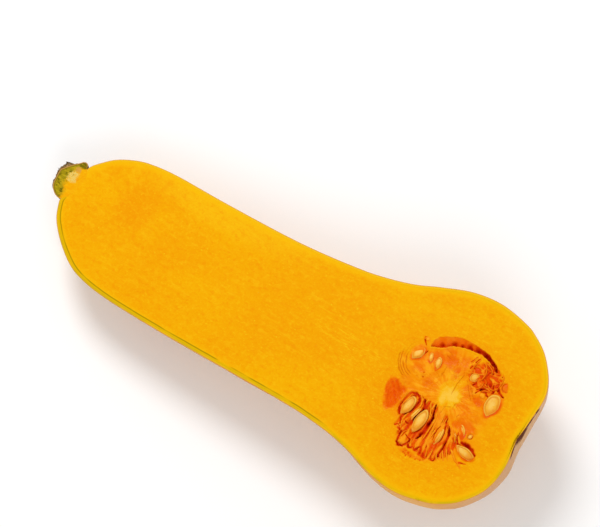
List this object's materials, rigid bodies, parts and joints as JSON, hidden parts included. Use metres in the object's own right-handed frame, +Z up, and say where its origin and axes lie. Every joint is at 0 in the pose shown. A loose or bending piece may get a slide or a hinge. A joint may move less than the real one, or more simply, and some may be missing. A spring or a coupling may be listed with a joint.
{
  "type": "butternut squash half",
  "caption": "Butternut squash cut lengthwise, one half lying cut face up, with a corky stem stub, a seed cavity, stringy pulp and seeds.",
  "frame": {"origin": "on the table, under the middle of the half's box", "axes": "+X from the stem to the blossom end, +Y across the cut face to the picture's upper side, +Z up"},
  "size_m": [0.2974, 0.1112, 0.0603],
  "materials": {
    "flesh": "moist cut flesh, yellow-orange, with fine pale fibres",
    "rind": "thin waxy tan rind with corky flecks and a green line under it",
    "pulp": "wet stringy orange-red pulp",
    "seed": "satin cream seeds and pale cut core",
    "cork": "dry ridged brown cork with an olive cut face"
  },
  "bodies": {
    "root": {"squash_half": "flesh", "seed_pulp": "pulp", "seed_core": "seed", "stem": "cork"}
  },
  "joints": []
}
